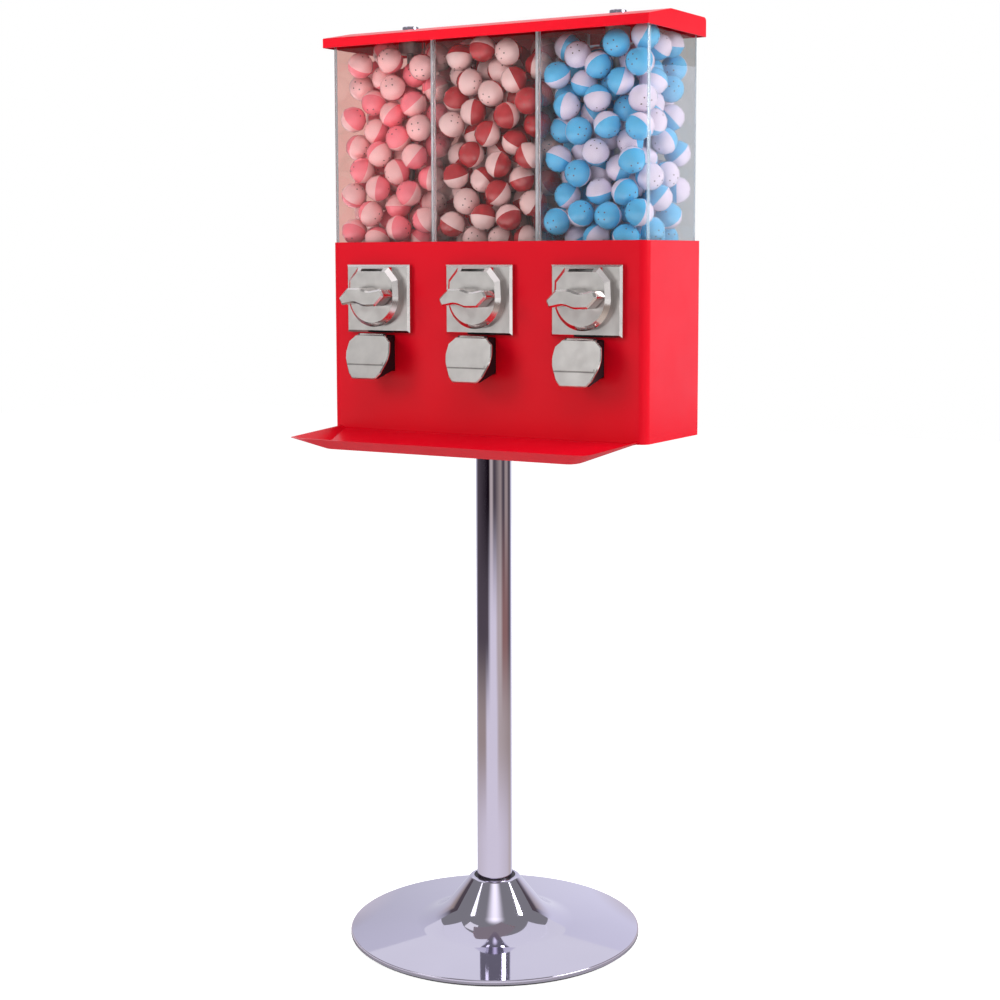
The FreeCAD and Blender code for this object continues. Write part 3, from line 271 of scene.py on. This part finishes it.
def capsuleMaterial(name, settings):
    # two moulded halves told apart by the capsule's own axis, each with a ring of vent holes drawn as dots of
    # painted shade
    material, tree, shader, vector = startMaterial(name)
    own = addNode(tree, "ShaderNodeAttribute", (-1300, -300), attribute_name="capsuleAxis")
    unit = addNode(tree, "ShaderNodeVectorMath", (-1100, -300), operation="NORMALIZE")
    tree.links.new(own.outputs["Vector"], unit.inputs[0])
    split = splitPlace(tree, (-950, -300), unit.outputs["Vector"])
    upper = mathNode(tree, "GREATER_THAN", (-750, -200), split["Z"], settings["joint"])
    across = mathNode(tree, "ABSOLUTE", (-750, -400), split["X"])
    along = mathNode(tree, "ABSOLUTE", (-750, -550), split["Y"])
    greater = mathNode(tree, "MAXIMUM", (-580, -400), across, along)
    lesser = mathNode(tree, "MINIMUM", (-580, -550), across, along)
    past = mathNode(tree, "SUBTRACT", (-420, -400), greater, settings["ventRing"])
    pastSquare = mathNode(tree, "MULTIPLY", (-270, -400), past, past)
    lesserSquare = mathNode(tree, "MULTIPLY", (-270, -550), lesser, lesser)
    gap = mathNode(tree, "SQRT", (20, -450), mathNode(tree, "ADD", (-120, -450), pastSquare, lesserSquare))
    hole = mathNode(tree, "LESS_THAN", (160, -450), gap, settings["ventRadius"])
    halves = mixColours(tree, (-350, 300), upper, settings["white"], settings["colour"])
    # the vent holes are not cut; each is a dark dot of painted shade
    shadedVents = mixColours(tree, (-100, 300), hole, halves, settings["ventShade"])
    tone = placeMottle(tree, vector, (-350, 600), settings["toneScale"], settings["tone"])
    tree.links.new(mixColours(tree, (120, 400), 1.0, shadedVents, tone, "MULTIPLY"), shader.inputs["Base Color"])
    gloss = placeMottle(tree, vector, (-350, 0), settings["glossScale"], settings["roughness"])
    tree.links.new(gloss, shader.inputs["Roughness"])
    shader.inputs["Coat Weight"].default_value = settings["coat"]
    return material


capsuleLook = {"joint": 0.03, "ventRing": 0.36, "ventRadius": 0.055, "ventShade": (0.10, 0.06, 0.06),
               "tone": (0.94, 1.04), "toneScale": 25.0, "roughness": (0.16, 0.26), "glossScale": 60.0,
               "coat": 0.6}
capsuleColours = {"pink": {"colour": (0.97, 0.20, 0.25), "white": (0.96, 0.50, 0.50)},
                  "red": {"colour": (0.42, 0.012, 0.018), "white": (0.84, 0.54, 0.53)},
                  "blue": {"colour": (0.09, 0.44, 0.76), "white": (0.73, 0.63, 0.78)}}
print("materials ready:", len(bpy.data.materials))


# piece helpers

def finishPiece(name, mesh, body, material, replaced, sharpDegrees=None):
    mesh.name = name
    mesh.materials.append(material)
    mesh.shade_smooth()
    if sharpDegrees is not None:
        mesh.set_sharp_from_angle(angle=math.radians(sharpDegrees))
    piece = bpy.data.objects.new(name, mesh)
    bpy.context.scene.collection.objects.link(piece)
    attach(piece, body)
    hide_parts(*replaced)


def meshFrom(bm):
    mesh = bpy.data.meshes.new("piece")
    bm.to_mesh(mesh)
    bm.free()
    return mesh


def drawLine(bm, line, closed):
    # a chain of edges in the XZ plane through points given as radius and height
    corners = [bm.verts.new((radius, 0.0, height)) for radius, height in line]
    following = corners[1:] + corners[:1] if closed else corners[1:]
    for here, there in zip(corners, following):
        bm.edges.new((here, there))
    return corners


def spinLine(bm, steps):
    # the whole line turned once round the Z axis, closed, with its faces outwards
    bmesh.ops.spin(bm, geom=bm.verts[:] + bm.edges[:], cent=(0, 0, 0), axis=(0, 0, 1), angle=2 * math.pi,
                   steps=steps, use_merge=True)
    bmesh.ops.remove_doubles(bm, verts=bm.verts[:], dist=mergeGap)
    bmesh.ops.recalc_face_normals(bm, faces=bm.faces[:])
    return meshFrom(bm)


# stand

stand = {"wall": 0.0012, "rim": 0.008, "footRadius": 0.072, "footHeight": 0.017, "neckRadius": 0.029,
         "mouthRadius": 0.025, "rimReach": 0.0016, "footReach": 0.0254, "neckReach": 0.0022, "roundSteps": 16,
         "coverSteps": 180, "poleWall": 0.002, "poleRound": 0.0004, "poleSteps": 96, "sharpDegrees": 40}


def spunShape(line, rounds, steps):
    # a closed outline whose corners are rounded before it is spun
    bm = bmesh.new()
    for corner, reach in zip(drawLine(bm, line, True), rounds):
        if reach > 0:
            bmesh.ops.bevel(bm, geom=[corner], offset=reach, offset_type="OFFSET", affect="VERTICES",
                            segments=stand["roundSteps"], profile=0.5, material=-1)
    return spinLine(bm, steps)


def coverMesh(low, high):
    # pressed sheet from the rim over the foot and up the hub to its mouth, and back on the inside
    wall = stand["wall"]
    line = [(high.x, low.z), (high.x, stand["rim"]), (stand["footRadius"], stand["footHeight"]),
            (stand["neckRadius"], high.z), (stand["mouthRadius"], high.z),
            (stand["mouthRadius"], high.z - wall), (stand["neckRadius"] - wall, high.z - wall),
            (stand["footRadius"] - wall, stand["footHeight"] - wall),
            (high.x - wall, stand["rim"] - wall), (high.x - wall, low.z)]
    rounds = [0, stand["rimReach"], stand["footReach"], stand["neckReach"], 0, 0, stand["neckReach"] / 2,
              stand["footReach"], stand["rimReach"] / 2, 0]
    return spunShape(line, rounds, stand["coverSteps"])


def poleMesh(low, high):
    inner = high.x - stand["poleWall"]
    line = [(high.x, low.z), (high.x, high.z), (inner, high.z), (inner, low.z)]
    return spunShape(line, [stand["poleRound"]] * 2 + [0] * 2, stand["poleSteps"])


finishPiece("baseCover", coverMesh(*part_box("base_cover")), "machine", chrome, ["base_cover"],
            stand["sharpDegrees"])
finishPiece("poleTube", poleMesh(*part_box("pole")), "machine", chrome, ["pole"],
            stand["sharpDegrees"])
print("stand ready")


# capsules

capsule = {"radius": 0.0157, "lipRadius": 0.016, "lipHalf": 0.0011, "steps": 16, "latitudes": (60, 33),
           "seed": 31}


def islandCentres(source):
    # one centre for each closed ball of a pile
    bm = bmesh.new()
    bm.from_mesh(source.data)
    bmesh.ops.remove_doubles(bm, verts=bm.verts[:], dist=mergeGap)
    bm.verts.ensure_lookup_table()
    seen = set()
    centres = []
    for start in bm.verts:
        if start.index in seen:
            continue
        seen.add(start.index)
        waiting = [start]
        low = start.co.copy()
        high = start.co.copy()
        while waiting:
            here = waiting.pop()
            low = Vector(map(min, low, here.co))
            high = Vector(map(max, high, here.co))
            for edge in here.link_edges:
                other = edge.other_vert(here)
                if other.index not in seen:
                    seen.add(other.index)
                    waiting.append(other)
        centres.append((low + high) / 2)
    bm.free()
    return sorted(centres, key=lambda centre: tuple(round(value, 5) for value in centre))


def capsuleShell():
    # half outline from the coloured pole to the white one, with the joint's lip at the middle
    radius = capsule["radius"]
    turns = [math.radians(degrees) for degrees in capsule["latitudes"]]
    cap = [(radius * math.cos(turn), radius * math.sin(turn)) for turn in turns]
    line = [(0.0, radius)] + cap + [(capsule["lipRadius"], capsule["lipHalf"])]
    line += [(across, -height) for across, height in reversed(line)]
    bm = bmesh.new()
    drawLine(bm, line, False)
    return spinLine(bm, capsule["steps"])


def capsulePile(shell, centres, draw):
    # every capsule at its ball's centre, turned at random, with its own axis kept as an attribute
    bm = bmesh.new()
    axis = bm.verts.layers.float_vector.new("capsuleAxis")
    for centre in centres:
        known = len(bm.verts)
        bm.from_mesh(shell)
        bm.verts.ensure_lookup_table()
        turn = Matrix.Rotation(draw.uniform(0, 2 * math.pi), 4, "Z") @ Matrix.Rotation(
            math.acos(draw.uniform(-1, 1)), 4, "X") @ Matrix.Rotation(draw.uniform(0, 2 * math.pi), 4, "Z")
        added = bm.verts[known:]
        for vert in added:
            vert[axis] = vert.co.normalized()
        bmesh.ops.transform(bm, matrix=Matrix.Translation(centre) @ turn, verts=added)
    return meshFrom(bm)


shell = capsuleShell()
draw = random.Random(capsule["seed"])
for colour in ("pink", "red", "blue"):
    node = "capsules_" + colour
    look = capsuleMaterial("capsule" + colour.title(), {**capsuleLook, **capsuleColours[colour]})
    mesh = capsulePile(shell, islandCentres(nodes[node]), draw)
    finishPiece("capsules" + colour.title(), mesh, "machine", look, [node])
print("capsules ready")


# hoppers

hopper = {"wall": 0.0025, "corner": 0.0083, "cornerSteps": 8, "endFacing": 0.5, "flat": 0.02,
          "seamShare": 0.41, "outerShare": 0.668, "sharpDegrees": 40}
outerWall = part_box("canister_right")[1].x


def hopperWall(low, high):
    # a clear square tube whose corners have strips of painted highlight next to each side wall
    bm = bmesh.new()
    bmesh.ops.create_cube(bm, size=1.0)
    bmesh.ops.scale(bm, vec=high - low, verts=bm.verts[:])
    bmesh.ops.translate(bm, vec=(low + high) / 2, verts=bm.verts[:])
    uprights = [edge for edge in bm.edges if abs(edge.verts[0].co.z - edge.verts[1].co.z) > hopper["wall"]]
    bmesh.ops.bevel(bm, geom=uprights, offset=hopper["corner"], offset_type="OFFSET", affect="EDGES",
                    segments=hopper["cornerSteps"], profile=0.5, material=-1)
    ends = [face for face in bm.faces if abs(face.normal.z) > hopper["endFacing"]]
    bmesh.ops.delete(bm, geom=ends, context="FACES")
    bmesh.ops.solidify(bm, geom=bm.faces[:], thickness=hopper["wall"])
    bmesh.ops.recalc_face_normals(bm, faces=bm.faces[:])
    for face in bm.faces:
        across, along = abs(face.normal.x), abs(face.normal.y)
        outer = abs(face.calc_center_median().x) > outerWall - hopper["corner"]
        share = hopper["outerShare"] if outer else hopper["seamShare"]
        # faces of the corner rounding that take the painted highlight
        highlightStrip = hopper["flat"] < along < share * across
        face.material_index = int(highlightStrip) * (1 + int(outer))
    return meshFrom(bm)


for side in sides:
    node = "canister_" + side
    mesh = hopperWall(*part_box(node))
    finishPiece("hopper" + side.title(), mesh, "machine", clearPlastic, [node],
                hopper["sharpDegrees"])
    mesh.materials.append(seamHighlight)
    mesh.materials.append(outerCornerHighlight)
print("hoppers ready")


# finishes of the construction's own nodes

nodeFinish = {"red_paint": redPaint, "chrome": chrome, "satin_chrome": satinChrome, "bare_steel": bareSteel,
              "cast_iron": castIron, "floor_rubber": floorRubber, "black_plastic": blackPlastic,
              "white_plastic": whitePlastic, "clear_plastic": clearPlastic}
for part in frame["record"]["subparts"]:
    material = nodeFinish.get(part["material_slot"])
    if material is not None:
        mesh = nodes[part["node"]].data
        mesh.materials.clear()
        mesh.materials.append(material)

# faces of plates, handles and flaps that turn away from the front are polished, the others stay satin
polish = {"starts": ("coin_plate_", "handle_", "chute_flap_"), "facing": 0.8}
for side in sides:
    nodes["chute_flap_" + side].data.materials[0] = flapChrome
    for start in polish["starts"]:
        mesh = nodes[start + side].data
        mesh.materials.append(polishedChrome)
        for face in mesh.polygons:
            face.material_index = int(-face.normal.y < polish["facing"])
print("nodes finished")


# stage

stage = {"floorHalf": 6.0, "floorTone": 0.86, "floorRoughness": 0.9, "mirroredFloor": 0.42,
         "whiteShare": 0.74, "ambient": 0.34, "mirrored": 0.28, "through": 0.42}
mirrorsOnly = ("camera", "diffuse", "transmission", "shadow")
clearOnly = ("camera", "diffuse", "glossy", "shadow")


def hideFrom(thing, rays):
    for ray in rays:
        setattr(thing, "visible_" + ray, False)


def addStage(name, mesh, material, hidden=()):
    thing = bpy.data.objects.new(name, mesh)
    mesh.materials.append(material)
    bpy.context.scene.collection.objects.link(thing)
    hideFrom(thing, hidden)


def cardMesh(halfWidth, halfHeight, turn, centre):
    # a flat card, turned about its middle and set in its place
    bm = bmesh.new()
    bmesh.ops.create_grid(bm, x_segments=1, y_segments=1, size=1.0)
    bmesh.ops.scale(bm, vec=(halfWidth, halfHeight, 1.0), verts=bm.verts[:])
    bmesh.ops.rotate(bm, cent=(0, 0, 0), matrix=turn, verts=bm.verts[:])
    bmesh.ops.translate(bm, vec=centre, verts=bm.verts[:])
    return meshFrom(bm)


def rayLevels(tree, place, plain, camera, mirrored, through):
    # one level for light that falls on surfaces, and others for what the camera, mirrors and clear sheets see
    path = addNode(tree, "ShaderNodeLightPath", place)
    level = plain
    for step, (ray, seen) in enumerate((("Is Glossy Ray", mirrored), ("Is Transmission Ray", through),
                                        ("Is Camera Ray", camera))):
        mix = addNode(tree, "ShaderNodeMix", (place[0] + 220 * (step + 1), place[1]), data_type="FLOAT")
        tree.links.new(path.outputs[ray], mix.inputs["Factor"])
        if isinstance(level, (int, float)):
            mix.inputs["A"].default_value = level
        else:
            tree.links.new(level, mix.inputs["A"])
        mix.inputs["B"].default_value = seen
        level = mix.outputs["Result"]
    return level


def buildFloor():
    material = bpy.data.materials.new("paleFloor")
    material.use_nodes = True
    tree = material.node_tree
    shader = tree.nodes["Principled BSDF"]
    tone = stage["floorTone"]
    share = stage["whiteShare"]
    colour = rayLevels(tree, (-900, 300), tone, tone, stage["mirroredFloor"], tone)
    tree.links.new(colour, shader.inputs["Base Color"])
    shader.inputs["Roughness"].default_value = stage["floorRoughness"]
    shader.inputs["Specular IOR Level"].default_value = 0.0
    shader.inputs["Emission Color"].default_value = (1.0, 1.0, 1.0, 1.0)
    glow = rayLevels(tree, (-900, -300), 0.0, share, 0.0, share)
    tree.links.new(glow, shader.inputs["Emission Strength"])
    half = stage["floorHalf"]
    addStage("floor", cardMesh(half, half, Matrix.Identity(3), (0, 0, 0)), material)


def buildWorld():
    world = bpy.data.worlds.new("studio")
    bpy.context.scene.world = world
    world.use_nodes = True
    tree = world.node_tree
    back = tree.nodes["Background"]
    back.inputs["Color"].default_value = (1.0, 1.0, 1.0, 1.0)
    level = rayLevels(tree, (-900, -200), stage["ambient"], 1.0, stage["mirrored"], stage["through"])
    tree.links.new(level, back.inputs["Strength"])


def softBox(name, settings):
    lamp = bpy.data.lights.new(name, "AREA")
    lamp.shape = "RECTANGLE"
    lamp.size, lamp.size_y = settings["size"]
    lamp.energy = settings["watts"]
    lamp.color = settings.get("colour", (1.0, 1.0, 1.0))
    lamp.spread = math.radians(settings.get("spreadDegrees", 180))
    box = bpy.data.objects.new(name, lamp)
    place = Vector(settings["place"])
    aim = Vector(settings["aim"]) - place
    box.matrix_world = Matrix.Translation(place) @ aim.to_track_quat("-Z", "Y").to_matrix().to_4x4()
    hideFrom(box, ("transmission", *settings.get("hidden", ())))
    bpy.context.scene.collection.objects.link(box)


def colourRamp(tree, place, share, stops):
    # the colour at a share between 0 and 1, from colours at a few places
    node = addNode(tree, "ShaderNodeValToRGB", place)
    for count, (position, colour) in enumerate(stops):
        point = node.color_ramp.elements[count] if count < 2 else node.color_ramp.elements.new(1.0)
        point.position = position
        point.color = (*colour, 1.0)
    tree.links.new(share, node.inputs["Fac"])
    return node


def glowMaterial(name):
    # plain light of one colour, with the place on the object to choose it by
    material = bpy.data.materials.new(name)
    material.use_nodes = True
    tree = material.node_tree
    tree.nodes.remove(tree.nodes["Principled BSDF"])
    glow = addNode(tree, "ShaderNodeEmission", (200, 0))
    place = addNode(tree, "ShaderNodeTexCoord", (-900, 0))
    tree.links.new(glow.outputs["Emission"], tree.nodes["Material Output"].inputs["Surface"])
    return material, tree, place.outputs["Object"], glow.inputs["Color"]


def backdrop(settings):
    # a toned card behind the hoppers, seen through their clear walls alone, with painted shade in its dark
    # stretches
    width = 2 * settings["halfWidth"]
    low = settings["centre"][0] - settings["halfWidth"]
    material, tree, place, colour = glowMaterial("backdropShadeTones")
    rise = mathNode(tree, "SUBTRACT", (-580, 0), splitPlace(tree, (-700, 0), place)["X"], low)
    share = mathNode(tree, "DIVIDE", (-450, 0), rise, width)
    stops = [((x - low) / width, tone) for x, tone in settings["tones"]]
    tree.links.new(colourRamp(tree, (-250, 0), share, stops).outputs["Color"], colour)
    upright = Matrix.Rotation(math.pi / 2, 3, "X")
    mesh = cardMesh(settings["halfWidth"], settings["halfHeight"], upright, settings["centre"])
    addStage("backdrop", mesh, material, clearOnly)


def ringWall(settings):
    # a low wall round the foot, of dim and bright stretches that fade from level to level
    bm = bmesh.new()
    bmesh.ops.create_cone(bm, segments=settings["steps"], radius1=settings["footRadius"],
                          radius2=settings["radius"], depth=settings["height"])
    bmesh.ops.translate(bm, vec=(0, 0, settings["height"] / 2), verts=bm.verts[:])
    material, tree, place, colour = glowMaterial("ringTones")
    split = splitPlace(tree, (-700, 0), place)
    turn = mathNode(tree, "ARCTAN2", (-580, 0), split["Y"], split["X"])
    fromBehind = mathNode(tree, "ADD", (-450, -150), turn, math.pi)
    share = mathNode(tree, "DIVIDE", (-350, 0), fromBehind, 2 * math.pi)
    levels = settings["levels"]
    for row, (height, front) in enumerate(levels):
        bands = front + settings["back"] + [(settings["seamDegrees"], front[0][1])]
        stops = [((degrees + 180) / 360, settings["tones"][tone]) for degrees, tone in bands]
        ramp = colourRamp(tree, (-200, -300 * row), share, stops)
        if row == 0:
            shade = ramp.outputs["Color"]
            continue
        fade = addNode(tree, "ShaderNodeMapRange", (80, -300 * row), interpolation_type="SMOOTHSTEP")
        fade.inputs["From Min"].default_value = levels[row - 1][0]
        fade.inputs["From Max"].default_value = height
        tree.links.new(split["Z"], fade.inputs["Value"])
        shade = mixColours(tree, (280, -300 * row), fade.outputs["Result"], shade, ramp.outputs["Color"])
    tree.links.new(shade, colour)
    addStage("ringWall", meshFrom(bm), material, mirrorsOnly)


def hubGlow(settings):
    # a soft round glow high before the foot, for the light patch on the hub
    centre = Vector(settings["centre"])
    reach = settings["reach"]
    material, tree, place, colour = glowMaterial("hubTones")
    gap = addNode(tree, "ShaderNodeVectorMath", (-500, 0), operation="DISTANCE")
    gap.inputs[1].default_value = centre
    tree.links.new(place, gap.inputs[0])
    share = mathNode(tree, "DIVIDE", (-350, 0), gap.outputs["Value"], reach)
    tones = colourRamp(tree, (-150, 0), share, [(0.0, settings["inner"]), (1.0, settings["outer"])])
    tones.color_ramp.interpolation = "EASE"
    tree.links.new(tones.outputs["Color"], colour)
    turn = centre.to_track_quat("Z", "Y").to_matrix()
    addStage("hubGlow", cardMesh(reach, reach, turn, centre), material, mirrorsOnly)


def mirrorCard(name, settings):
    # a level card of one tone, turned about the upright
    material, tree, place, colour = glowMaterial(name + "Tone")
    colour.default_value = (*settings["tone"], 1.0)
    turn = Matrix.Rotation(math.radians(settings["turnDegrees"]), 3, "Z")
    mesh = cardMesh(settings["halfWidth"], settings["halfDepth"], turn, settings["centre"])
    addStage(name, mesh, material, mirrorsOnly)


lamps = {
    "keyBox": {"place": (2.5, 0.4, 1.75), "aim": (0.1, 0.0, 0.75), "size": (1.4, 1.4), "watts": 49.0},
    "plateCard": {"place": (-1.4, -2.3, 0.42), "aim": (0.0, 0.0, 0.77), "size": (1.6, 0.64), "watts": 5.8},
    "flapCard": {"place": (-1.15, -1.9, 2.05), "aim": (0.0, 0.0, 0.70), "size": (1.0, 0.8), "watts": 4.8},
    "fillBox": {"place": (-1.6, -1.9, 1.7), "aim": (0.0, 0.0, 0.75), "size": (1.2, 1.2), "watts": 20.8,
                "hidden": ("glossy",)},
    "crownBox": {"place": (-1.0, -0.35, 2.4), "aim": (0.0, 0.0, 0.75), "size": (0.6, 0.6), "watts": 0.8},
    "topBox": {"place": (1.0, -0.9, 3.2), "aim": (0.4, -0.4, 0.0), "size": (3.2, 3.0), "watts": 46.0,
               "hidden": ("glossy",)},
    "hopperFill": {"place": (0.2, -2.0, 1.5), "aim": (-0.05, 0.0, 1.04), "size": (0.5, 0.12), "watts": 0.165,
                   "spreadDegrees": 12},
    "backBox": {"place": (-1.6, 2.7, 1.7), "aim": (0.0, 0.0, 1.0), "size": (4.4, 2.6), "watts": 24.0,
                "colour": (0.93, 0.93, 1.0)},
    "sideCard": {"place": (1.4, 2.3, 0.8), "aim": (0.0, 0.0, 0.8), "size": (1.8, 1.0), "watts": 7.0,
                 "colour": (0.70, 0.80, 1.0)},
    "bendCard": {"place": (1.71, -1.03, 0.55), "aim": (0.2, -0.05, 0.7), "size": (0.5, 0.8), "watts": 1.2}}

buildFloor()
buildWorld()
for name, settings in lamps.items():
    softBox(name, settings)

# tones from left to right at places along X, the dark red and dark grey ones painted shade seen between the
# capsules
backdrop({"centre": (-0.05, 0.25, 0.95), "halfWidth": 0.5, "halfHeight": 0.2,
          "tones": [(-0.45, (0.84, 0.48, 0.42)), (-0.24, (0.68, 0.34, 0.31)), (-0.18, (0.17, 0.06, 0.06)),
                    (-0.08, (0.15, 0.05, 0.05)), (-0.04, (0.13, 0.15, 0.19)), (0.06, (0.15, 0.17, 0.20)),
                    (0.12, (0.42, 0.42, 0.42))]})

# stretches at degrees round the foot, for each height, and the same back for all
ringWall({"footRadius": 0.19, "radius": 1.0, "height": 0.55, "steps": 96,
          "tones": {"pale": (0.92, 0.88, 0.92), "soft": (0.78, 0.73, 0.75), "warm": (0.64, 0.56, 0.50),
                    "brown": (0.46, 0.38, 0.33), "rust": (0.36, 0.20, 0.17), "dim": (0.11, 0.09, 0.10),
                    "black": (0.01, 0.005, 0.01), "sky": (0.87, 0.87, 0.98), "dusk": (0.66, 0.66, 0.74)},
          "back": [(85, "sky"), (155, "dusk")], "seamDegrees": 175,
          "levels": [(0.03, [(-180, "soft"), (-100, "pale"), (-40, "pale"), (30, "soft"), (60, "warm")]),
                     (0.14, [(-180, "brown"), (-120, "brown"), (-105, "pale"), (-45, "pale"), (-30, "warm"),
                             (60, "brown")]),
                     (0.26, [(-180, "dim"), (-100, "dim"), (-80, "pale"), (-50, "pale"), (-35, "warm"),
                             (-15, "warm"), (0, "rust"), (30, "rust"), (60, "dim")]),
                     (0.46, [(-180, "dim"), (-100, "black"), (-90, "black"), (-80, "warm"), (-70, "warm"),
                             (-60, "dim"), (-50, "dim"), (-15, "brown"), (0, "dim"), (10, "dim"),
                             (20, "brown"), (35, "brown"), (50, "dim"), (65, "dim")])]})
hubGlow({"centre": (0.53, -0.88, 2.0), "reach": 0.75, "inner": (1.6, 1.56, 1.6), "outer": (0.28, 0.28, 0.28)})
mirrorCard("underCard", {"centre": (0.0, -0.015, 0.585), "halfWidth": 0.2, "halfDepth": 0.123,
                         "turnDegrees": 0, "tone": (0.30, 0.26, 0.27)})
mirrorCard("skyCard", {"centre": (-0.943, 1.568, 2.97), "halfWidth": 2.2, "halfDepth": 1.03,
                       "turnDegrees": 31, "tone": (0.90, 0.90, 0.95)})
bpy.context.scene.view_settings.view_transform = "Standard"
print("stage ready")


# camera at the photograph's viewing angle

shot = {"distance": 2.0997, "height": 0.8172, "yawDegrees": 31.0965, "pitchDegrees": 6.0255,
        "rollDegrees": -0.1525, "focalPixels": 1777.43, "middlePixel": (493.64, 445.16),
        "framePixels": 1000.0, "sensorMillimetres": 36.0}


def buildCamera():
    lens = bpy.data.cameras.new("photoCamera")
    lens.sensor_width = shot["sensorMillimetres"]
    lens.lens = shot["focalPixels"] / shot["framePixels"] * shot["sensorMillimetres"]
    lens.shift_x = 0.5 - shot["middlePixel"][0] / shot["framePixels"]
    lens.shift_y = shot["middlePixel"][1] / shot["framePixels"] - 0.5
    camera = bpy.data.objects.new("photoCamera", lens)
    yaw = math.radians(shot["yawDegrees"])
    place = Vector((shot["distance"] * math.sin(yaw), -shot["distance"] * math.cos(yaw), shot["height"]))
    pitch = Matrix.Rotation(math.radians(90 - shot["pitchDegrees"]), 4, "X")
    roll = Matrix.Rotation(math.radians(shot["rollDegrees"]), 4, "Z")
    camera.matrix_world = Matrix.Translation(place) @ Matrix.Rotation(yaw, 4, "Z") @ pitch @ roll
    bpy.context.scene.collection.objects.link(camera)
    bpy.context.scene.camera = camera


buildCamera()
print("camera ready")
